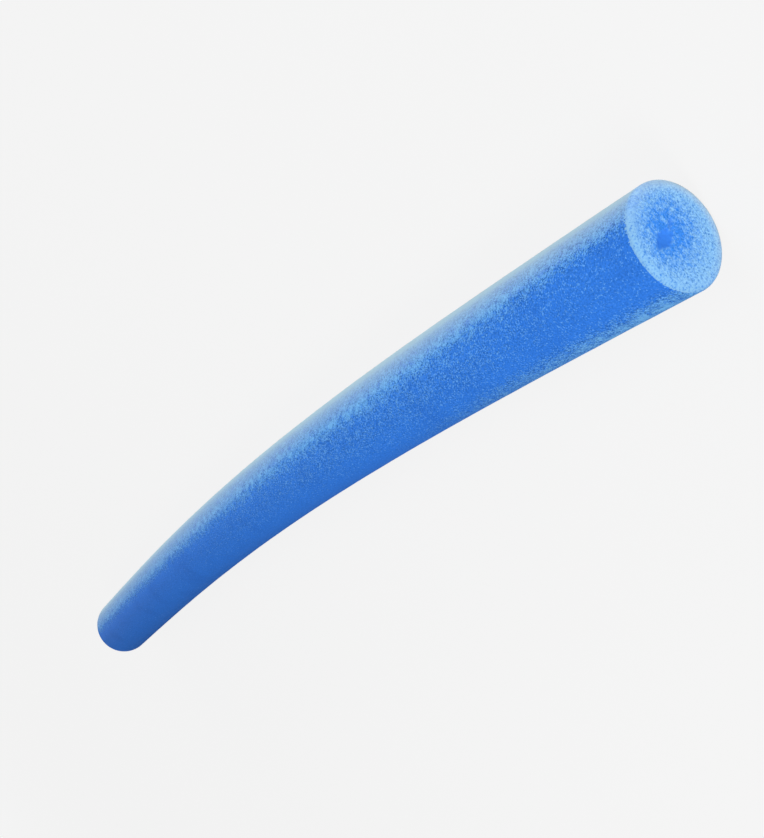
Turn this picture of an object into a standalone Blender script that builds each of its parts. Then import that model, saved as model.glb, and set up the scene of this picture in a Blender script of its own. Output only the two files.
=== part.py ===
"""Solid foam pool noodle, lying on its side and gently bowed.

The real one is a single piece: a rod of closed-cell foam that is extruded, cut to length and
rounded at its cut edges. The bow is the set that it takes from being stored.

Units are metres, +Z up. The noodle lies along X, its bow bulges towards +Y, and the origin is the
middle of the noodle's bounding box on the surface that it lies on.
"""

import math

import bpy
from mathutils import Vector

MM = 0.001

# Driving sizes of the noodle
NOODLE_LENGTH = 1219 * MM
NOODLE_DIAMETER = 76 * MM
BOW_ANGLE = math.radians(7.0)
EDGE_ROUNDING = 5 * MM
REST_FLAT_DEPTH = 0.5 * MM

# The small smooth dimple in each cut end, with its place as shares of the noodle's radius
DIMPLE_DIAMETER = 12 * MM
DIMPLE_DEPTH = 1.5 * MM
DIMPLE_RISE_SHARE = 0.37
DIMPLE_SIDESTEP_SHARE = 0.04

# How far a cutter stands past the solid that it cuts
CUTTER_OVERRUN = 20 * MM

# How finely the surface is divided
SIDES = 64
SIDE_SPANS = 32
EDGE_STEPS = 5
FACE_RING_SHARES = (0.25, 0.5, 0.75)
GUIDE_SPANS = 192
DIMPLE_SIDES = 32
DIMPLE_RINGS = 32

MERGE_DISTANCE = 0.01 * MM

RADIUS = NOODLE_DIAMETER / 2
AXIS_HEIGHT = RADIUS - REST_FLAT_DEPTH

FOAM_COLOUR = (0.042, 0.202, 0.708, 1.0)
FOAM_ROUGHNESS = 0.85


def clear_scene():
    """Empty the scene, so that a second run starts from nothing."""
    for old in list(bpy.data.objects):
        bpy.data.objects.remove(old, do_unlink=True)


def new_collection(name):
    """A collection of that name, linked to the scene."""
    collection = bpy.data.collections.get(name) or bpy.data.collections.new(name)
    if name not in bpy.context.scene.collection.children:
        bpy.context.scene.collection.children.link(collection)
    return collection


def foam_material():
    """Matt blue polyethylene foam."""
    material = bpy.data.materials.new("blue_polyethylene_foam")
    material.use_nodes = True
    shader = material.node_tree.nodes["Principled BSDF"]
    shader.inputs["Base Color"].default_value = FOAM_COLOUR
    shader.inputs["Roughness"].default_value = FOAM_ROUGHNESS
    shader.inputs["Metallic"].default_value = 0.0
    return material


def heading(share):
    """The noodle's heading at a share of its length, turned from +X towards +Y.

    It falls from half the bow angle to minus half of it, and the bend is strongest in the middle:
    a stored noodle sags between its ends, which stay straight.
    """
    turned = 3 * share**2 - 2 * share**3
    return BOW_ANGLE * (0.5 - turned)


def centreline():
    """Points along the noodle's axis from its -X end to its +X end, centred on the bounding box."""
    step = NOODLE_LENGTH / GUIDE_SPANS
    point = Vector((0, 0, 0))
    points = [point.copy()]
    for span in range(GUIDE_SPANS):
        angle = heading((span + 0.5) / GUIDE_SPANS)
        point = point + Vector((math.cos(angle), math.sin(angle), 0)) * step
        points.append(point.copy())
    bulge = max(p.y for p in points)
    lean = BOW_ANGLE / 2
    # The lowest Y is on the rounded edge of an end, the highest on the side at mid-length
    rim = EDGE_ROUNDING * math.sin(lean) - (RADIUS - EDGE_ROUNDING) * math.cos(lean) - EDGE_ROUNDING
    middle = Vector((points[-1].x / 2, (bulge + RADIUS + rim) / 2, -AXIS_HEIGHT))
    return [p - middle for p in points]


def guide_curve(points, collection):
    """The curve that the straight noodle is bent along."""
    data = bpy.data.curves.new("bow_guide", "CURVE")
    data.dimensions = "3D"
    data.twist_mode = "Z_UP"
    spline = data.splines.new("POLY")
    spline.points.add(len(points) - 1)
    for target, point in zip(spline.points, points):
        target.co = (*point, 1.0)
    guide = bpy.data.objects.new("bow_guide", data)
    guide.hide_render = True
    guide.display_type = "WIRE"
    collection.objects.link(guide)
    return guide


def half_profile():
    """The outline from the middle of the +X end, over its edge and down the side, to the -X end.

    X is the distance along the noodle and Y the distance from its axis.
    """
    corner = RADIUS - EDGE_ROUNDING
    end_face = [(NOODLE_LENGTH, 0.0)]
    end_face += [(NOODLE_LENGTH, corner * share) for share in FACE_RING_SHARES]
    edge = []
    for step in range(EDGE_STEPS + 1):
        angle = math.pi / 2 * step / EDGE_STEPS
        along = NOODLE_LENGTH - EDGE_ROUNDING * (1 - math.cos(angle))
        edge.append((along, corner + EDGE_ROUNDING * math.sin(angle)))
    straight = NOODLE_LENGTH - 2 * EDGE_ROUNDING
    side = []
    for span in range(1, SIDE_SPANS):
        along = NOODLE_LENGTH - EDGE_ROUNDING - straight * span / SIDE_SPANS
        side.append((along, RADIUS))
    near_end = end_face + edge
    far_end = [(NOODLE_LENGTH - along, across) for along, across in reversed(near_end)]
    return near_end + side + far_end


def turned_rod(guide, material, collection):
    """The noodle, turned from its half profile and bent along the guide."""
    outline = half_profile()
    mesh = bpy.data.meshes.new("foam_noodle")
    edges = [(index, index + 1) for index in range(len(outline) - 1)]
    mesh.from_pydata([(along, across, 0.0) for along, across in outline], edges, [])
    mesh.materials.append(material)
    rod = bpy.data.objects.new("foam_noodle", mesh)
    collection.objects.link(rod)

    turn = rod.modifiers.new("turn", "SCREW")
    turn.axis = "X"
    turn.angle = math.tau
    turn.steps = SIDES
    turn.render_steps = SIDES
    turn.use_merge_vertices = True
    turn.merge_threshold = MERGE_DISTANCE
    turn.use_smooth_shade = True

    bow = rod.modifiers.new("bow", "CURVE")
    bow.object = guide
    bow.deform_axis = "POS_X"
    return rod


def cut(solid, cutter, name):
    """Take the cutter's shape out of the solid."""
    boolean = solid.modifiers.new(name, "BOOLEAN")
    boolean.operation = "DIFFERENCE"
    boolean.solver = "EXACT"
    boolean.object = cutter


def hide_cutter(cutter, name, collection):
    """Name a cutter, keep it out of renders and file it with the other guides."""
    cutter.name = name
    cutter.hide_render = True
    cutter.display_type = "WIRE"
    for old in list(cutter.users_collection):
        old.objects.unlink(cutter)
    collection.objects.link(cutter)
    return cutter


def floor_cutter(collection):
    """The block under the resting surface, which flattens the underside."""
    bpy.ops.mesh.primitive_cube_add(size=1.0)
    cutter = bpy.context.object
    cutter.scale = (
        NOODLE_LENGTH + 2 * CUTTER_OVERRUN,
        2 * NOODLE_DIAMETER + 2 * CUTTER_OVERRUN,
        CUTTER_OVERRUN,
    )
    cutter.location = (0, 0, -CUTTER_OVERRUN / 2)
    return hide_cutter(cutter, "rest_flat_cutter", collection)


def dimple_cutter(end, outward, name, collection):
    """The ball that leaves a shallow dimple in a cut end, above the noodle's axis."""
    half_width = DIMPLE_DIAMETER / 2
    ball_radius = (half_width**2 + DIMPLE_DEPTH**2) / (2 * DIMPLE_DEPTH)
    bpy.ops.mesh.primitive_uv_sphere_add(
        segments=DIMPLE_SIDES, ring_count=DIMPLE_RINGS, radius=ball_radius
    )
    cutter = bpy.context.object
    up = Vector((0, 0, 1))
    across = Vector((0, 1, 0))
    across -= across.dot(outward) * outward
    across.normalize()
    place = end + outward * (ball_radius - DIMPLE_DEPTH)
    place += up * (RADIUS * DIMPLE_RISE_SHARE) + across * (RADIUS * DIMPLE_SIDESTEP_SHARE)
    cutter.location = place
    cutter.rotation_euler = outward.to_track_quat("Z", "Y").to_euler()
    cutter.data.shade_smooth()
    return hide_cutter(cutter, name, collection)


def main():
    clear_scene()
    noodle_parts = new_collection("pool_noodle")
    helpers = new_collection("guides_and_cutters")

    points = centreline()
    guide = guide_curve(points, helpers)
    noodle = turned_rod(guide, foam_material(), noodle_parts)

    cut(noodle, floor_cutter(helpers), "rest_flat")
    lean = BOW_ANGLE / 2
    plus_x_outward = Vector((math.cos(lean), -math.sin(lean), 0))
    minus_x_outward = Vector((-math.cos(lean), -math.sin(lean), 0))
    plus_x_ball = dimple_cutter(points[-1], plus_x_outward, "plus_x_dimple_cutter", helpers)
    minus_x_ball = dimple_cutter(points[0], minus_x_outward, "minus_x_dimple_cutter", helpers)
    cut(noodle, plus_x_ball, "plus_x_dimple")
    cut(noodle, minus_x_ball, "minus_x_dimple")


main()
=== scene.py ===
"""Looks of a solid foam pool noodle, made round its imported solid.

The noodle is one rod of closed-cell polyethylene foam that lies on its side with a gentle bow. Its
skin is the fused surface that the extruder leaves. Its two ends are sawn, which opens the cells.
Units are metres, +Z up, and the noodle lies along X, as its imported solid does.
"""

import math

import bmesh
import bpy
from bpy.props import FloatProperty, FloatVectorProperty, PointerProperty
from mathutils import Matrix, Vector, noise


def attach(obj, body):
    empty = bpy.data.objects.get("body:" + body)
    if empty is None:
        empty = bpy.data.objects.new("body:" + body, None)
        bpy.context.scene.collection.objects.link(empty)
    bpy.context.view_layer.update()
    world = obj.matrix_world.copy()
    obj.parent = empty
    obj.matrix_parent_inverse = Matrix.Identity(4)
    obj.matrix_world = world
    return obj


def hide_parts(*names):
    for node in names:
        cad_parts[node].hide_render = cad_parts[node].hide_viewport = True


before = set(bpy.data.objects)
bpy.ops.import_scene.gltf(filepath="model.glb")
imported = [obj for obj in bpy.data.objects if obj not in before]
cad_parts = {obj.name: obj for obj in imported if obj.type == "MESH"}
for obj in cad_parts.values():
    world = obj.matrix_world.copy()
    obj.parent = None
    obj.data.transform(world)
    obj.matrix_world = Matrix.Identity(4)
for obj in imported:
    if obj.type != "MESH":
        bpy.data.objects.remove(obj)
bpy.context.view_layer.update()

bl_info = {
    "name": "Foam Pool Noodle",
    "version": (1, 0, 0),
    "blender": (4, 5, 0),
    "location": "3D View > Sidebar > Noodle",
    "description": "Models a bowed foam pool noodle and the studio round it",
    "category": "Add Mesh",
}

MM = 0.001

# How finely the rod is divided, and how near each other two points are merged
SIDES = 192
SIDE_CUTS = 320
FACE_CUTS = 56
EDGE_SEGMENTS = 6
GUIDE_SPANS = 192
MERGE_DISTANCE = 0.01 * MM

# Widths of what shows in the foam: clumps of pale specks, partly painted glints, the mottling
# between them, clumps of open cells, the spots of painted shade in the sawn face, the tears in the
# skin's edge, and the slow change of the skin's own blue
SKIN_CLUMP_WIDTH = 7 * MM
MOTTLE_WIDTH = 1.4 * MM
SAWN_CLUMP_WIDTH = 5 * MM
SAWN_SHADE_WIDTH = 1.5 * MM
TEAR_WIDTH = 1.6 * MM
SHADE_WIDTH = 40 * MM

# Widths of the skin's long and short ripples
LONG_RIPPLE = 45 * MM
SHORT_RIPPLE = 9 * MM

# Places in the sawn face, as shares of the noodle's radius: where the most cells gape, and the
# small smooth scar beside the dimple. Then the directions in which its rounded edge carries the
# most painted shade and its rim the most painted highlight
GAPE_MIDDLE_SHARES = Vector((0, 0.1, 0.18))
SCAR_SHARES = Vector((0, 0.22, 0.04))
SHADED_EDGE_TOWARDS = Vector((0, -0.34, 0.94))
RIM_HIGHLIGHT_TOWARDS = Vector((0, 0.5, -0.87))

# The dimple and the scar are ragged drops that narrow upwards: how far their tops lean towards the
# inside of the bow, how much they narrow, how ragged they are, and at what width. Then the scar's
# width, height, smoothness and depth, as shares of the dimple's
DIMPLE_LEAN = math.radians(18)
SCAR_LEAN = math.radians(34)
DROP_NARROWING = 0.35
RAGGEDNESS = 0.25
RAGGED_WIDTH = 3 * MM
SCAR_WIDTH_SHARE = 0.4
SCAR_HEIGHT_SHARE = 0.6
SCAR_SMOOTH_SHARE = 0.7
SCAR_DEPTH_SHARE = 0.5

# Distances from the cut end: where the pale specks, partly painted glints, and the painted
# highlight reach their full strength, between which the open cells of the rounded edge thin out,
# between which the saw tore the skin, how much further it is torn on the flank outside the bow, and
# how far the sawn material reaches, which is past the last tear
CLEAR_OF_EDGE = 6 * MM
OPEN_CELLS_FROM = 3 * MM
OPEN_CELLS_TO = 5.5 * MM
TORN_FROM = 3.4 * MM
TORN_TO = 5.6 * MM
TEAR_SKEW = 1.2 * MM
SAWN_REACH = 8 * MM

# Least share of cells that a pattern works with, so that it divides by no zero, and the share of
# painted shade in the hollows that all of the skin has
LEAST_CELL_SHARE = 0.004
LEAST_SHADE_SHARE = 0.11

# Finish of the foam: the roughness of its skin and of its sawn ends, and what the two share, its
# index of refraction, hardly any gloss, and a faint bloom with a roughness of its own
SKIN_ROUGHNESS = 0.75
SAWN_ROUGHNESS = 0.85
FOAM_IOR = 1.5
FOAM_GLOSS = 0.02
BLOOM = 0.02
BLOOM_ROUGHNESS = 0.4

# The point that the camera looks at, inside the noodle between its middle and its +X end
AIM = Vector((228.4 * MM, 5.4 * MM, 37.5 * MM))

# Each soft light's name, place, aim, width and height in metres, and power in watts
SOFTBOXES = (
    ("front_softbox", (2.2, 0, 0.5), (0.6, 0, 0.05), 1.0, 0.8, 21.0),
    ("key_softbox", (0.7, -1.0, 1.3), (0.35, 0, 0.04), 0.6, 0.6, 8.8),
    ("overhead_softbox", (0.5, 0.4, 1.3), (0.25, 0, 0.04), 0.9, 0.6, 3.2),
    ("near_side_softbox", (0.9, -1.3, 0.5), (0.54, 0, 0.04), 0.6, 0.5, 5.4),
    ("low_flank_strip", (-0.1, 2.2, 0.5), (-0.1, 0, 0.04), 2.4, 0.6, 30.0),
    ("back_softbox", (-3.6, 0.2, 0.6), (-0.6, 0, 0.04), 1.6, 0.6, 35.0),
)

# Strengths of the room's even light, of the floor's own glow and of the backdrop's, which meets the
# floor's at its far edge. Then the glow's share in how the floor looks, where lit paper has the
# rest and takes the shadow, and how far the floor lies below the noodle, so that the two don't
# share a plane
ROOM_LIGHT = 0.2
FLOOR_GLOW = 1.06
BACKDROP_GLOW = 0.965
GLOW_SHARE = 0.9
FLOOR_DROP = 0.3 * MM


def linear(hex_colour):
    """The linear red, green and blue of an sRGB hex colour."""
    channels = [int(hex_colour[i : i + 2], 16) / 255 for i in (1, 3, 5)]
    return tuple(c / 12.92 if c <= 0.04045 else ((c + 0.055) / 1.055) ** 2.4 for c in channels)


def share_between(low, high, value):
    """0 up to low, 1 from high on, and in step between them."""
    return min(max((value - low) / (high - low), 0.0), 1.0)


def smooth_step(low, high, value):
    """0 up to low, 1 from high on, and a smooth rise between them."""
    share = share_between(low, high, value)
    return share * share * (3 - 2 * share)


def length_property(name, description, default):
    """A length that the user can change."""
    return FloatProperty(name=name, description=description, default=default, unit="LENGTH")


def angle_property(name, description, degrees):
    """An angle that the user can change, with its default written in degrees."""
    return FloatProperty(
        name=name, description=description, default=math.radians(degrees), subtype="ANGLE"
    )


def colour_property(name, description, hex_colour):
    """A colour that the user can change, with its default written in sRGB hex."""
    return FloatVectorProperty(
        name=name,
        description=description,
        subtype="COLOR",
        size=3,
        min=0,
        max=1,
        default=linear(hex_colour),
    )


class NoodleSizes(bpy.types.PropertyGroup):
    """The noodle's sizes."""

    length: length_property("Length", "Along the bow", 1219 * MM)
    diameter: length_property("Diameter", "Across the rod", 76 * MM)
    bow_angle: angle_property("Bow", "Turn from end to end", 7.0)
    edge_rounding: length_property("Edge rounding", "Radius of the cut edges", 5 * MM)
    rest_flat_depth: length_property("Rest flat", "How far the underside is pressed in", 0.5 * MM)
    ripple_height: length_property("Skin ripple", "Unevenness of the skin", 0.15 * MM)
    pit_depth: length_property("Pit depth", "Depth of the cells that the saw opened", 0.6 * MM)
    cell_width: length_property("Cell width", "Width of a foam cell", 0.85 * MM)
    dimple_width: length_property("Dimple width", "Width of the smooth dimple", 11 * MM)
    dimple_height: length_property("Dimple height", "Height of the smooth dimple", 19 * MM)
    dimple_depth: length_property("Dimple depth", "Depth of the smooth dimple", 1.5 * MM)
    dimple_rise_share: FloatProperty(
        name="Dimple rise",
        description="Its height over the axis, as a share of the radius",
        default=0.37,
    )
    dimple_sidestep_share: FloatProperty(
        name="Dimple sidestep",
        description="Its step towards the outside of the bow, as a share of the radius",
        default=0.04,
    )


class NoodleColours(bpy.types.PropertyGroup):
    """The colours of the foam and of the studio."""

    skin: colour_property("Skin", "Fused skin of the foam", "#3681EB")
    deep_skin: colour_property("Deep skin", "Skin where the foam is densest", "#2E71D5")
    # Painted shade in the small hollows between the pale cells
    painted_hollow_shade: colour_property("Hollow skin", "Small hollows between the pale cells", "#1C59AF")
    # Painted highlight: the pale veil along the flank outside the bow
    painted_highlight_skin: colour_property("Faded skin", "Skin that the light has bleached", "#BFDEED")
    # Partly the foam's own pale cells, partly painted glints where light grazes the flanks
    speck_and_glint: colour_property("Skin cell", "Pale cells that show in the skin", "#78BEFA")
    sheen: colour_property("Sheen", "Faint bloom on the foam", "#F2F6FA")
    cell_wall: colour_property("Cell wall", "Walls of the cells that the saw opened", "#98D1FF")
    cell_pit: colour_property("Cell pit", "Bottoms of the cells that the saw opened", "#4192F9")
    # Painted shade in the deepest hollows of the sawn face
    cell_shadow: colour_property("Cell shadow", "Deepest hollows in the sawn face", "#2B7AD6")
    # Painted highlight: the paler lower edge of the sawn face
    rim: colour_property("Rim", "Scuffed lower edge of the sawn face", "#C6E0F0")
    # Painted shade on the upper side of the rounded edge
    painted_edge_shade: colour_property("Worn edge", "Upper side of the rounded edge", "#84B8E3")
    core: colour_property("Core", "Smooth foam in the dimple", "#3D87F1")
    floor: colour_property("Floor", "Studio floor and backdrop, as the camera sees them", "#F4F4F4")
    floor_paper: colour_property("Floor paper", "Paper that takes the shadow", "#BCBCBC")
    floor_bounce: colour_property("Floor bounce", "What the floor throws on the foam", "#606060")


def add_node(tree, kind, settings, links=()):
    """Add a node, give it its settings, and link its inputs from other nodes' outputs."""
    node = tree.nodes.new(kind)
    for name, value in settings.items():
        if isinstance(name, str) and hasattr(node, name):
            setattr(node, name, value)
        else:
            node.inputs[name].default_value = value
    for name, source in dict(links).items():
        tree.links.new(source, node.inputs[name])
    return node


def new_material(name):
    """A material with its Principled shader, ready for nodes."""
    material = bpy.data.materials.new(name)
    material.use_nodes = True
    return material, material.node_tree, material.node_tree.nodes["Principled BSDF"]


def finish_foam(shader, colours, roughness):
    """Foam's dull surface: hardly any gloss, and the faint bloom of its thin cell walls."""
    shader.inputs["Roughness"].default_value = roughness
    shader.inputs["IOR"].default_value = FOAM_IOR
    shader.inputs["Specular IOR Level"].default_value = FOAM_GLOSS
    shader.inputs["Sheen Weight"].default_value = BLOOM
    shader.inputs["Sheen Roughness"].default_value = BLOOM_ROUGHNESS
    shader.inputs["Sheen Tint"].default_value = (*colours.sheen, 1)


def foam_cells(tree, cell_width):
    """The pattern of the foam's cells in the object's own space, with a random colour for each.

    Real cells are about half a millimetre to a millimetre wide. They are drawn at the coarse end of
    that, which is little more than a pixel of the render, because finer ones wouldn't show.
    """
    place = add_node(tree, "ShaderNodeTexCoord", {})
    cells = add_node(
        tree,
        "ShaderNodeTexVoronoi",
        {"voronoi_dimensions": "3D", "feature": "F1", "Scale": 1 / cell_width, "Randomness": 1.0},
        {"Vector": place.outputs["Object"]},
    )
    chance = add_node(tree, "ShaderNodeSeparateColor", {}, {"Color": cells.outputs["Color"]})
    return place, cells, chance


def clumped(tree, place, attribute, clump_width):
    """A share that the mesh carries, raised and lowered in clumps."""
    share = add_node(tree, "ShaderNodeAttribute", {"attribute_name": attribute})
    clumps = add_node(
        tree,
        "ShaderNodeTexNoise",
        {"Scale": 1 / clump_width, "Detail": 2.0, "Roughness": 0.6},
        {"Vector": place.outputs["Object"]},
    )
    swing = add_node(
        tree,
        "ShaderNodeMapRange",
        {"clamp": False, "From Min": 0.3, "From Max": 0.7, "To Min": 0.4, "To Max": 1.6},
        {"Value": clumps.outputs["Fac"]},
    )
    return add_node(
        tree,
        "ShaderNodeMath",
        {"operation": "MULTIPLY"},
        {0: share.outputs["Fac"], 1: swing.outputs["Result"]},
    )


def cell_tone(tree, chance, share):
    """How far each cell takes a second colour. No two are alike, and they average the share.

    A cell's even chance is raised to the power most / share - 1, and then scaled by the most that
    a cell takes. A small share gives a few soft specks, and a large one a dense mottling with gaps.
    """
    bounded = add_node(
        tree,
        "ShaderNodeMath",
        {"operation": "MAXIMUM", 1: LEAST_CELL_SHARE},
        {0: share.outputs["Value"]},
    )
    most = add_node(
        tree,
        "ShaderNodeMapRange",
        {"From Min": 0.0, "From Max": 0.45, "To Min": 0.6, "To Max": 1.0},
        {"Value": bounded.outputs["Value"]},
    )
    ratio = add_node(
        tree,
        "ShaderNodeMath",
        {"operation": "DIVIDE"},
        {0: most.outputs["Result"], 1: bounded.outputs["Value"]},
    )
    power = add_node(
        tree, "ShaderNodeMath", {"operation": "SUBTRACT", 1: 1.0}, {0: ratio.outputs["Value"]}
    )
    raised = add_node(
        tree,
        "ShaderNodeMath",
        {"operation": "POWER", "use_clamp": True},
        {0: chance, 1: power.outputs["Value"]},
    )
    return add_node(
        tree,
        "ShaderNodeMath",
        {"operation": "MULTIPLY"},
        {0: most.outputs["Result"], 1: raised.outputs["Value"]},
    )


def skin_colour(tree, colours, place, chance):
    """The skin's colour: its blue, pale specks with painted glints, painted shade and highlight."""
    # Its own blue deepens here and there, where the foam is densest
    broad = add_node(
        tree,
        "ShaderNodeTexNoise",
        {"Scale": 1 / SHADE_WIDTH, "Detail": 2.0},
        {"Vector": place.outputs["Object"]},
    )
    depth = add_node(
        tree,
        "ShaderNodeMapRange",
        {"From Min": 0.5, "From Max": 0.8, "To Min": 0.0, "To Max": 0.6},
        {"Value": broad.outputs["Fac"]},
    )
    skin = add_node(
        tree,
        "ShaderNodeMix",
        {"data_type": "RGBA", 6: (*colours.skin, 1), 7: (*colours.deep_skin, 1)},
        {0: depth.outputs["Result"]},
    )
    # Painted shade: small hollows between the cells are darkened, more where more of the cells show
    share = clumped(tree, place, "specks_and_glints", SKIN_CLUMP_WIDTH)
    mottle = add_node(
        tree,
        "ShaderNodeTexNoise",
        {"Scale": 1 / MOTTLE_WIDTH, "Detail": 2.0, "Roughness": 0.7},
        {"Vector": place.outputs["Object"]},
    )
    mottled = add_node(
        tree,
        "ShaderNodeMapRange",
        {"From Min": 0.42, "From Max": 0.62, "To Min": 0.0, "To Max": 3.1},
        {"Value": mottle.outputs["Fac"]},
    )
    shaded_share = add_node(
        tree,
        "ShaderNodeMath",
        {"operation": "ADD", 1: LEAST_SHADE_SHARE},
        {0: share.outputs["Value"]},
    )
    shade_spots = add_node(
        tree,
        "ShaderNodeMath",
        {"operation": "MULTIPLY", "use_clamp": True},
        {0: shaded_share.outputs["Value"], 1: mottled.outputs["Result"]},
    )
    hollow_shaded = add_node(
        tree,
        "ShaderNodeMix",
        {"data_type": "RGBA", 7: (*colours.painted_hollow_shade, 1)},
        {0: shade_spots.outputs["Value"], 6: skin.outputs[2]},
    )
    # Single cells show pale: partly the foam's own mottling, partly painted glints, most on the
    # flanks
    tone = cell_tone(tree, chance.outputs["Red"], share)
    speckled = add_node(
        tree,
        "ShaderNodeMix",
        {"data_type": "RGBA", 7: (*colours.speck_and_glint, 1)},
        {0: tone.outputs["Value"], 6: hollow_shaded.outputs[2]},
    )
    # Painted highlight on the outer flank, weaker in the hollows than on the foam between them
    painted_highlight_share = add_node(tree, "ShaderNodeAttribute", {"attribute_name": "painted_highlight"})
    highlight_mottle = add_node(
        tree,
        "ShaderNodeMapRange",
        {"From Min": 0.35, "From Max": 0.65, "To Min": 0.75, "To Max": 1.3},
        {"Value": mottle.outputs["Fac"]},
    )
    highlight_mix = add_node(
        tree,
        "ShaderNodeMath",
        {"operation": "POWER", "use_clamp": True},
        {0: painted_highlight_share.outputs["Fac"], 1: highlight_mottle.outputs["Result"]},
    )
    return add_node(
        tree,
        "ShaderNodeMix",
        {"data_type": "RGBA", 7: (*colours.painted_highlight_skin, 1)},
        {0: highlight_mix.outputs["Value"], 6: speckled.outputs[2]},
    )


def skin_material(sizes, colours):
    """Polyethylene foam skin, fused as it left the extruder's die.

    It is matt and strongly coloured. The cells under it show as small domes, and some of them as
    pale specks, which are partly painted glints, most on the flank outside the bow, which carries a
    painted highlight, and low on the other flank near the +X end. Painted shade darkens the hollows
    between them.
    """
    material, tree, shader = new_material("extruded_polyethylene_foam_skin")
    place, cells, chance = foam_cells(tree, sizes.cell_width)
    colour = skin_colour(tree, colours, place, chance)
    dome = add_node(
        tree,
        "ShaderNodeMapRange",
        {"From Min": 0.0, "From Max": 0.7, "To Min": 1.0, "To Max": 0.0},
        {"Value": cells.outputs["Distance"]},
    )
    bump = add_node(
        tree,
        "ShaderNodeBump",
        {"Strength": 0.3, "Distance": 0.2 * MM},
        {"Height": dome.outputs["Result"]},
    )
    tree.links.new(colour.outputs[2], shader.inputs["Base Color"])
    tree.links.new(bump.outputs["Normal"], shader.inputs["Normal"])
    finish_foam(shader, colours, SKIN_ROUGHNESS)
    return material


def sawn_material(sizes, colours):
    """The same foam where a saw opened its cells.

    The thin cell walls catch the light and look pale, and the open cells between them stay darker.
    More of them gape towards the core, and the dimple there is smooth. Painted shade darkens spots
    of the face and the upper side of its rounded edge, and a painted highlight pales its lower rim.
    The skin starts at a ragged line by the rounded edge, where the saw tore it.
    """
    material, tree, shader = new_material("sawn_polyethylene_foam")
    place, _, chance = foam_cells(tree, sizes.cell_width)
    # How dark each cell is, round the share of the cells that gape there
    share = clumped(tree, place, "cells_gape", SAWN_CLUMP_WIDTH)
    uneven = add_node(
        tree,
        "ShaderNodeMapRange",
        {"To Min": -0.38, "To Max": 0.38},
        {"Value": chance.outputs["Green"]},
    )
    pit = add_node(
        tree,
        "ShaderNodeMath",
        {"operation": "ADD", "use_clamp": True},
        {0: share.outputs["Value"], 1: uneven.outputs["Result"]},
    )
    opened = add_node(
        tree,
        "ShaderNodeMix",
        {"data_type": "RGBA", 6: (*colours.cell_wall, 1), 7: (*colours.cell_pit, 1)},
        {0: pit.outputs["Value"]},
    )
    # Painted shade darkens the upper side of the rounded edge to an even tone
    edge_shade_attribute = add_node(tree, "ShaderNodeAttribute", {"attribute_name": "edge_shade"})
    edge_shade = add_node(
        tree,
        "ShaderNodeMix",
        {"data_type": "RGBA", 7: (*colours.painted_edge_shade, 1)},
        {0: edge_shade_attribute.outputs["Fac"], 6: opened.outputs[2]},
    )
    # Painted shade in hollows here and there, which the bump also sinks
    shade_spots = add_node(
        tree,
        "ShaderNodeTexNoise",
        {"Scale": 1 / SAWN_SHADE_WIDTH, "Detail": 2.0, "Roughness": 0.7},
        {"Vector": place.outputs["Object"]},
    )
    depth = add_node(
        tree,
        "ShaderNodeMapRange",
        {"From Min": 0.32, "From Max": 0.52, "To Min": 0.8, "To Max": 0.0},
        {"Value": shade_spots.outputs["Fac"]},
    )
    foam = add_node(
        tree,
        "ShaderNodeMix",
        {"data_type": "RGBA", 7: (*colours.cell_shadow, 1)},
        {0: depth.outputs["Result"], 6: edge_shade.outputs[2]},
    )
    # A painted highlight pales the rim below, and the dimple and the scar are smooth
    edge = add_node(tree, "ShaderNodeAttribute", {"attribute_name": "rim_highlight"})
    rim_lit = add_node(
        tree,
        "ShaderNodeMix",
        {"data_type": "RGBA", 7: (*colours.rim, 1)},
        {0: edge.outputs["Fac"], 6: foam.outputs[2]},
    )
    core = add_node(tree, "ShaderNodeAttribute", {"attribute_name": "in_dimple"})
    cored = add_node(
        tree,
        "ShaderNodeMix",
        {"data_type": "RGBA", 7: (*colours.core, 1)},
        {0: core.outputs["Fac"], 6: rim_lit.outputs[2]},
    )
    # The skin starts at the ragged line where the saw tore it
    skinned = add_node(tree, "ShaderNodeAttribute", {"attribute_name": "skinned"})
    teeth = add_node(
        tree,
        "ShaderNodeTexNoise",
        {"Scale": 1 / TEAR_WIDTH, "Detail": 1.0},
        {"Vector": place.outputs["Object"]},
    )
    covered = add_node(
        tree,
        "ShaderNodeMath",
        {"operation": "GREATER_THAN"},
        {0: skinned.outputs["Fac"], 1: teeth.outputs["Fac"]},
    )
    skin = skin_colour(tree, colours, place, chance)
    colour = add_node(
        tree,
        "ShaderNodeMix",
        {"data_type": "RGBA"},
        {0: covered.outputs["Value"], 6: cored.outputs[2], 7: skin.outputs[2]},
    )
    bump = add_node(
        tree,
        "ShaderNodeBump",
        {"Strength": 0.2, "Distance": 0.4 * MM, "invert": True},
        {"Height": depth.outputs["Result"]},
    )
    tree.links.new(colour.outputs[2], shader.inputs["Base Color"])
    tree.links.new(bump.outputs["Normal"], shader.inputs["Normal"])
    finish_foam(shader, colours, SAWN_ROUGHNESS)
    return material


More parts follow.
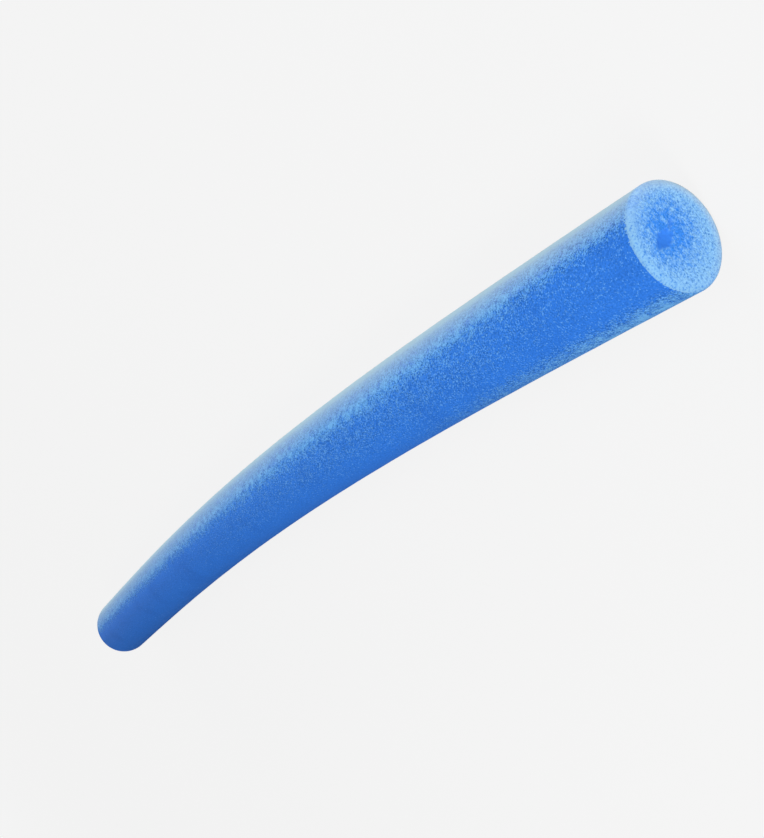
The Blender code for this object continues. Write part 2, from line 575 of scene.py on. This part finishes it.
class Bow:
    """The noodle's bowed axis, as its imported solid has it."""

    def __init__(self, sizes):
        self.length = sizes.length
        self.angle = sizes.bow_angle
        radius = sizes.diameter / 2
        step = self.length / GUIDE_SPANS
        points = [Vector((0, 0, 0))]
        for span in range(GUIDE_SPANS):
            angle = self.heading((span + 0.5) / GUIDE_SPANS)
            points.append(points[-1] + Vector((math.cos(angle), math.sin(angle), 0)) * step)
        lean = self.angle / 2
        corner = radius - sizes.edge_rounding
        # The lowest Y is on the rounded edge of an end, the highest on the side at mid-length
        rim = sizes.edge_rounding * (math.sin(lean) - 1) - corner * math.cos(lean)
        bulge = max(p.y for p in points)
        axis_drop = sizes.rest_flat_depth - radius
        middle = Vector((points[-1].x / 2, (bulge + radius + rim) / 2, axis_drop))
        self.points = [p - middle for p in points]

    def heading(self, share):
        """The heading at a share of the length. The ends stay straight, the middle bends most."""
        return self.angle * (0.5 - (3 * share**2 - 2 * share**3))

    def station(self, along):
        """The matrix that carries a cross-section at X = 0 to its place at that distance along."""
        share = min(max(along / self.length, 0.0), 1.0)
        spot = share * GUIDE_SPANS
        span = min(int(spot), GUIDE_SPANS - 1)
        place = self.points[span].lerp(self.points[span + 1], spot - span)
        return Matrix.Translation(place) @ Matrix.Rotation(self.heading(share), 4, "Z")


def straight_rod(sizes):
    """The noodle before it is bowed, from X = 0 to its length: a half outline, spun about X."""
    bm = bmesh.new()
    radius = sizes.diameter / 2
    outline = [(sizes.length, 0, 0), (sizes.length, radius, 0), (0, radius, 0), (0, 0, 0)]
    verts = [bm.verts.new(place) for place in outline]
    edges = [bm.edges.new(pair) for pair in zip(verts, verts[1:])]
    bmesh.ops.bevel(
        bm,
        geom=verts[1:3],
        offset=sizes.edge_rounding,
        segments=EDGE_SEGMENTS,
        profile=0.5,
        affect="VERTICES",
        material=-1,
    )
    side = [e for e in bm.edges if e.calc_length() > sizes.length / 2]
    ends = [e for e in bm.edges if e not in side and e.calc_length() > radius / 2]
    bmesh.ops.subdivide_edges(bm, edges=side, cuts=SIDE_CUTS)
    bmesh.ops.subdivide_edges(bm, edges=ends, cuts=FACE_CUTS)
    bmesh.ops.spin(
        bm,
        geom=bm.verts[:] + bm.edges[:],
        cent=(0, 0, 0),
        axis=(1, 0, 0),
        angle=math.tau,
        steps=SIDES,
        use_merge=True,
    )
    bmesh.ops.remove_doubles(bm, verts=bm.verts[:], dist=MERGE_DISTANCE)
    bmesh.ops.recalc_face_normals(bm, faces=bm.faces[:])
    return bm


def skin_relief(place, sizes):
    """How far the skin stands out of a true cylinder at a place: the slight ripple of the foam."""
    broad = noise.noise(place / LONG_RIPPLE)
    fine = noise.noise(place / SHORT_RIPPLE)
    return sizes.ripple_height * (0.7 * broad + 0.3 * fine)


def sawn_relief(place, sizes):
    """How deep the sawn face lies at a place, for the cells that the saw opened.

    They are drawn twice as wide as a cell, because the mesh is too coarse to carry finer ones.
    """
    distances, _ = noise.voronoi(place / (2 * sizes.cell_width))
    return -sizes.pit_depth * max(0.0, 1 - 2 * distances[0])


def near_end(share):
    """0 along most of the noodle, about 1 at its +X end, where the painted highlight starts lower.
    """
    return smooth_step(0.7, 1.02, share)


def painted_highlight_share(share, degrees):
    """How much painted highlight pales the skin, by share of the length and degrees from the top.

    The degrees count towards the outside of the bow. Past mid-length the painted highlight starts
    and is full a little lower than at the -X end, and lower again at the +X end. It ends above the
    underside.
    """
    start = 18 + 6 * smooth_step(0.4, 0.65, share) + 11 * near_end(share)
    full = 56 + 6 * smooth_step(0.15, 0.45, share) + 5 * near_end(share)
    rise = 0.75 * share_between(start, full, degrees) ** 1.1
    rise += 0.25 * smooth_step(full - 8, full + 16, degrees)
    return rise * (1 - smooth_step(76, 120, degrees))


def specks_and_glints_share(share, degrees):
    """The share of the cells that shows pale, partly as painted glints, by the same two measures.

    Most show on the flank outside the bow, half as many where the painted highlight is strongest,
    and low on the flank inside the bow near the +X end. A few show along the top.
    """
    start = 18 * near_end(share)
    outside = 0.5 * smooth_step(start + 3, start + 30, degrees)
    outside *= 1 - smooth_step(100, 140, degrees)
    outside *= 1 - 0.5 * smooth_step(start + 24, start + 48, degrees)
    middle = smooth_step(0.2, 0.75, share) * (1 - 0.65 * smooth_step(0.8, 0.98, share))
    top = 0.16 * middle * smooth_step(-65, 12, degrees)
    low = (1 - smooth_step(-70, -34, degrees)) * smooth_step(-150, -100, degrees)
    inside = 0.62 * smooth_step(0.68, 1.0, share) * low
    return 1 - (1 - outside) * (1 - top) * (1 - inside)


def cells_gaping(across, inset, radius):
    """The share of the cells that gape in the sawn face.

    Most gape by the dimple, and more on the upper side of the rounded edge than on the lower.
    """
    away = (across - GAPE_MIDDLE_SHARES * radius).length / radius
    upward = 0.5 + 0.5 * across.z / radius
    edge = smooth_step(0.82, 0.95, across.length / radius)
    edge *= 1 - smooth_step(OPEN_CELLS_FROM, OPEN_CELLS_TO, inset)
    return 0.02 + 0.9 * (1 - share_between(0.26, 0.86, away)) + 0.45 * upward * edge


def rim_highlighting(across, radius):
    """Painted highlight towards the sawn face's edge: most below, towards the outside of the bow.
    """
    towards = across.dot(RIM_HIGHLIGHT_TOWARDS) / radius
    return smooth_step(0.7, 1.0, across.length / radius) * (0.5 + 0.5 * towards) ** 2


def edge_shading(across, radius):
    """Painted shade on the rounded edge: its upper side, a little towards the inside of the bow."""
    towards = across.dot(SHADED_EDGE_TOWARDS) / max(across.length, MERGE_DISTANCE)
    return smooth_step(0.84, 0.95, across.length / radius) * smooth_step(0.0, 0.8, towards)


def from_hollow(across, place, half_width, half_height, lean):
    """Distance from the middle of a ragged drop in the sawn face, which is 1 at its edge."""
    offset = Matrix.Rotation(-lean, 2) @ (across - place).yz
    narrowed = half_width * (1 - DROP_NARROWING * share_between(0, half_height, offset.y))
    ragged = RAGGEDNESS * noise.noise(across / RAGGED_WIDTH)
    return math.hypot(offset.x / narrowed, offset.y / half_height) + ragged


def hollows(across, sizes):
    """How smooth a place in the sawn face is, and how deep it lies, in the dimple and the scar."""
    radius = sizes.diameter / 2
    place = Vector((0, sizes.dimple_sidestep_share, sizes.dimple_rise_share)) * radius
    half_width, half_height = sizes.dimple_width / 2, sizes.dimple_height / 2
    dimple = from_hollow(across, place, half_width, half_height, DIMPLE_LEAN)
    scar = from_hollow(
        across,
        SCAR_SHARES * radius,
        half_width * SCAR_WIDTH_SHARE,
        half_height * SCAR_HEIGHT_SHARE,
        SCAR_LEAN,
    )
    smooth_dimple = 1 - smooth_step(0.75, 1.2, dimple)
    smooth_scar = SCAR_SMOOTH_SHARE * (1 - smooth_step(0.4, 1.2, scar))
    deep_dimple = 1 - dimple**2
    deep_scar = SCAR_DEPTH_SHARE * (1 - scar**2)
    depth = sizes.dimple_depth * max(0.0, deep_dimple, deep_scar)
    return max(smooth_dimple, smooth_scar), depth


def model_noodle(sizes):
    """The noodle's mesh: spun, given its relief, bowed, and pressed flat where it lies."""
    bm = straight_rod(sizes)
    bow = Bow(sizes)
    radius = sizes.diameter / 2
    corner = radius - sizes.edge_rounding
    specks_and_glints_layer = bm.verts.layers.float.new("specks_and_glints")
    painted_highlight = bm.verts.layers.float.new("painted_highlight")
    gapes = bm.verts.layers.float.new("cells_gape")
    rim = bm.verts.layers.float.new("rim_highlight")
    edge_shade = bm.verts.layers.float.new("edge_shade")
    dimple = bm.verts.layers.float.new("in_dimple")
    skinned = bm.verts.layers.float.new("skinned")
    for face in bm.faces:
        middle = face.calc_center_median().x
        inset = min(middle, sizes.length - middle)
        face.material_index = 1 if inset < SAWN_REACH else 0
        face.smooth = True
    bm.normal_update()
    normals = [v.normal.copy() for v in bm.verts]
    for vert, normal in zip(bm.verts, normals):
        along, across = vert.co.x, Vector((0, vert.co.y, vert.co.z))
        inset = min(along, sizes.length - along)
        off_axis = across.length
        degrees = math.degrees(math.atan2(across.y, across.z))
        share = along / sizes.length
        clear = smooth_step(0, CLEAR_OF_EDGE, inset)
        # Pale specks that are partly painted glints, the painted highlight on the flank, and the
        # painted shade and highlight of the sawn face's edge
        vert[specks_and_glints_layer] = clear * specks_and_glints_share(share, degrees)
        vert[painted_highlight] = clear * painted_highlight_share(share, degrees)
        vert[gapes] = cells_gaping(across, inset, radius)
        vert[rim] = rim_highlighting(across, radius)
        vert[edge_shade] = edge_shading(across, radius)
        vert[skinned] = share_between(TORN_FROM, TORN_TO, inset - TEAR_SKEW * across.y / radius)
        # The flat of the cut face has the opened cells, the dimple and the scar
        if inset < MERGE_DISTANCE and off_axis < corner:
            vert[dimple], depth = hollows(across, sizes)
            relief = sawn_relief(vert.co, sizes) * (1 - vert[dimple]) - depth
        else:
            relief = skin_relief(vert.co, sizes)
        moved = vert.co + normal * relief
        vert.co = bow.station(along) @ Vector((moved.x - along, moved.y, moved.z))
        vert.co.z = max(vert.co.z, 0.0)
    mesh = bpy.data.meshes.new("foam_rod")
    bm.to_mesh(mesh)
    bm.free()
    return mesh


class POOLNOODLE_OT_foam_rod(bpy.types.Operator):
    """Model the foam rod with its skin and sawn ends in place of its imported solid"""

    bl_idname = "pool_noodle.foam_rod"
    bl_label = "Foam rod"

    def execute(self, context):
        sizes, colours = context.scene.noodle_sizes, context.scene.noodle_colours
        mesh = model_noodle(sizes)
        mesh.materials.append(skin_material(sizes, colours))
        mesh.materials.append(sawn_material(sizes, colours))
        rod = bpy.data.objects.new("foam_rod", mesh)
        context.scene.collection.objects.link(rod)
        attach(rod, "root")
        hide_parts("foam_noodle")
        return {"FINISHED"}


class StudioSettings(bpy.types.PropertyGroup):
    """The camera and the floor's size."""

    camera_distance: length_property("Camera distance", "From the point it looks at", 1.0651)
    camera_azimuth: angle_property("Camera azimuth", "From +X towards +Y", -3.48)
    camera_elevation: angle_property("Camera elevation", "Above the floor", 34.3)
    camera_roll: angle_property("Camera roll", "Clockwise turn of the camera", 120.41)
    lens: FloatProperty(name="Lens", description="Focal length in millimetres", default=52.57)
    floor_size: length_property("Floor", "Side of the floor", 24.0)


def add_camera(context, studio):
    """The camera, above and past the +X end, rolled so that the noodle runs corner to corner."""
    azimuth, elevation = studio.camera_azimuth, studio.camera_elevation
    flat = math.cos(elevation)
    back = Vector((math.cos(azimuth) * flat, math.sin(azimuth) * flat, math.sin(elevation)))
    data = bpy.data.cameras.new("studio_camera")
    data.lens = studio.lens
    data.sensor_fit = "AUTO"
    data.sensor_width = 36
    camera = bpy.data.objects.new("studio_camera", data)
    level = (-back).to_track_quat("-Z", "Y").to_matrix().to_4x4()
    roll = Matrix.Rotation(-studio.camera_roll, 4, "Z")
    camera.matrix_world = Matrix.Translation(AIM + back * studio.camera_distance) @ level @ roll
    context.scene.collection.objects.link(camera)
    context.scene.camera = camera


def add_softbox(context, name, place, aim, width, height, power):
    """A rectangular soft light that faces a point."""
    data = bpy.data.lights.new(name, "AREA")
    data.shape = "RECTANGLE"
    data.size = width
    data.size_y = height
    data.energy = power
    light = bpy.data.objects.new(name, data)
    light.location = place
    light.rotation_euler = (Vector(aim) - Vector(place)).to_track_quat("-Z", "Y").to_euler()
    light.visible_camera = False
    context.scene.collection.objects.link(light)


def ray_seen(tree):
    """1 for rays that show the background: the camera's own, and those off gloss or in glass."""
    path = add_node(tree, "ShaderNodeLightPath", {})
    camera_or_glossy = add_node(
        tree,
        "ShaderNodeMath",
        {"operation": "MAXIMUM"},
        {0: path.outputs["Is Camera Ray"], 1: path.outputs["Is Glossy Ray"]},
    )
    return add_node(
        tree,
        "ShaderNodeMath",
        {"operation": "MAXIMUM"},
        {0: camera_or_glossy.outputs["Value"], 1: path.outputs["Is Transmission Ray"]},
    )


def floor_material(colours):
    """Seamless white paper, pale by its own colour, which still takes the noodle's soft shadow."""
    material, tree, shader = new_material("white_background_paper")
    seen = ray_seen(tree)
    paper = add_node(
        tree,
        "ShaderNodeMix",
        {"data_type": "RGBA", 6: (*colours.floor_bounce, 1), 7: (*colours.floor_paper, 1)},
        {0: seen.outputs["Value"]},
    )
    tree.links.new(paper.outputs[2], shader.inputs["Base Color"])
    shader.inputs["Roughness"].default_value = 0.9
    shader.inputs["Specular IOR Level"].default_value = 0.0
    share = add_node(
        tree,
        "ShaderNodeMath",
        {"operation": "MULTIPLY", 1: GLOW_SHARE},
        {0: seen.outputs["Value"]},
    )
    glow = add_node(
        tree, "ShaderNodeEmission", {"Color": (*colours.floor, 1), "Strength": FLOOR_GLOW}
    )
    mixed = add_node(
        tree,
        "ShaderNodeMixShader",
        {},
        {0: share.outputs["Value"], 1: shader.outputs["BSDF"], 2: glow.outputs["Emission"]},
    )
    tree.links.new(mixed.outputs["Shader"], tree.nodes["Material Output"].inputs["Surface"])
    return material


def add_world(context, colours):
    """An even pale room, which the camera sees in the floor's own colour."""
    world = bpy.data.worlds.new("studio_room")
    context.scene.world = world
    world.use_nodes = True
    tree = world.node_tree
    tree.nodes.clear()
    seen = ray_seen(tree)
    room = add_node(
        tree, "ShaderNodeBackground", {"Color": (1, 1, 1, 1), "Strength": ROOM_LIGHT}
    )
    backdrop = add_node(
        tree, "ShaderNodeBackground", {"Color": (*colours.floor, 1), "Strength": BACKDROP_GLOW}
    )
    mixed = add_node(
        tree,
        "ShaderNodeMixShader",
        {},
        {
            0: seen.outputs["Value"],
            1: room.outputs["Background"],
            2: backdrop.outputs["Background"],
        },
    )
    add_node(tree, "ShaderNodeOutputWorld", {}, {"Surface": mixed.outputs["Shader"]})


class POOLNOODLE_OT_studio(bpy.types.Operator):
    """Set up the floor, the backdrop, the soft lights and the camera"""

    bl_idname = "pool_noodle.studio"
    bl_label = "Studio"

    def execute(self, context):
        studio, colours = context.scene.noodle_studio, context.scene.noodle_colours
        bm = bmesh.new()
        bmesh.ops.create_grid(bm, x_segments=1, y_segments=1, size=studio.floor_size / 2)
        bmesh.ops.translate(bm, verts=bm.verts[:], vec=(0, 0, -FLOOR_DROP))
        mesh = bpy.data.meshes.new("studio_floor")
        bm.to_mesh(mesh)
        bm.free()
        mesh.materials.append(floor_material(colours))
        floor = bpy.data.objects.new("studio_floor", mesh)
        context.scene.collection.objects.link(floor)
        add_world(context, colours)
        for softbox in SOFTBOXES:
            add_softbox(context, *softbox)
        add_camera(context, studio)
        context.scene.view_settings.view_transform = "Standard"
        return {"FINISHED"}


class POOLNOODLE_PT_panel(bpy.types.Panel):
    """The noodle's sizes, colours and buttons"""

    bl_idname = "POOLNOODLE_PT_panel"
    bl_label = "Foam Pool Noodle"
    bl_space_type = "VIEW_3D"
    bl_region_type = "UI"
    bl_category = "Noodle"

    def draw(self, context):
        for group in (
            context.scene.noodle_sizes,
            context.scene.noodle_colours,
            context.scene.noodle_studio,
        ):
            box = self.layout.box()
            for name in group.__annotations__:
                box.prop(group, name)
        self.layout.operator(POOLNOODLE_OT_foam_rod.bl_idname)
        self.layout.operator(POOLNOODLE_OT_studio.bl_idname)


CLASSES = (
    NoodleSizes,
    NoodleColours,
    StudioSettings,
    POOLNOODLE_OT_foam_rod,
    POOLNOODLE_OT_studio,
    POOLNOODLE_PT_panel,
)


def register():
    for cls in CLASSES:
        bpy.utils.register_class(cls)
    bpy.types.Scene.noodle_sizes = PointerProperty(type=NoodleSizes)
    bpy.types.Scene.noodle_colours = PointerProperty(type=NoodleColours)
    bpy.types.Scene.noodle_studio = PointerProperty(type=StudioSettings)


def unregister():
    del bpy.types.Scene.noodle_studio
    del bpy.types.Scene.noodle_colours
    del bpy.types.Scene.noodle_sizes
    for cls in reversed(CLASSES):
        bpy.utils.unregister_class(cls)


def main():
    register()
    bpy.ops.pool_noodle.foam_rod()
    bpy.ops.pool_noodle.studio()


if __name__ == "__main__":
    main()
